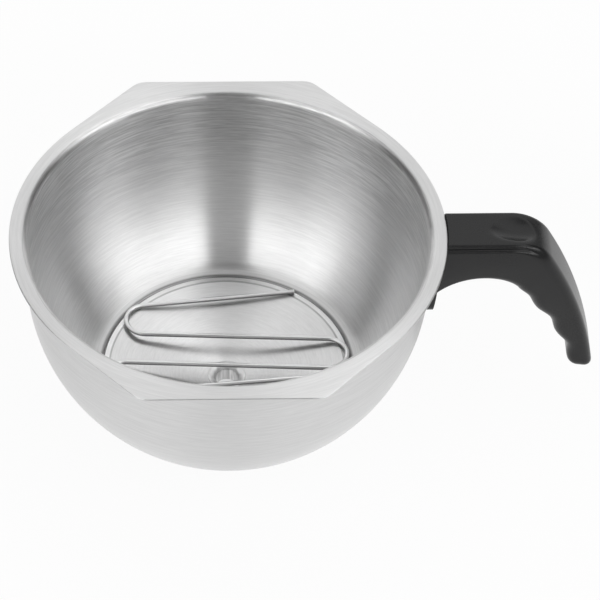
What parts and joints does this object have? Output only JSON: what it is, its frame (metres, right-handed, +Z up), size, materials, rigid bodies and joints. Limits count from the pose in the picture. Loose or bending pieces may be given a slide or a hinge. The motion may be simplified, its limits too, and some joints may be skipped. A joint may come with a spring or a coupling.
{
  "type": "funnel pot",
  "caption": "Round steel funnel pot with a rail flange, a dished floor with a centre drain, a loose serpentine wire rack and a black moulded side handle with finger scallops.",
  "frame": {"origin": "on the bowl's axis, at the mouth of the drain spout", "axes": "+X from the bowl's axis towards the handle, +Z up along the bowl's axis, rails parallel to X"},
  "size_m": [0.2423, 0.181, 0.0948],
  "materials": {
    "bowl_steel": "fine circumferential brush",
    "wire_steel": "drawn wire, satin",
    "handle_black": "satin moulded",
    "fixing_steel": "plain plated"
  },
  "bodies": {
    "pot": {"funnel_bowl": "bowl_steel", "drain_spout": "bowl_steel", "handle": "handle_black", "handle_bracket": "fixing_steel", "bracket_nuts": "fixing_steel", "handle_screws": "fixing_steel", "lock_washers": "fixing_steel"},
    "rack": {"wire_rack": "wire_steel"}
  },
  "joints": [
    {"name": "rack_lift", "type": "slide", "parent": "pot", "child": "rack", "axis": [0, 0, 1], "range_m": [0, 0.11]}
  ]
}
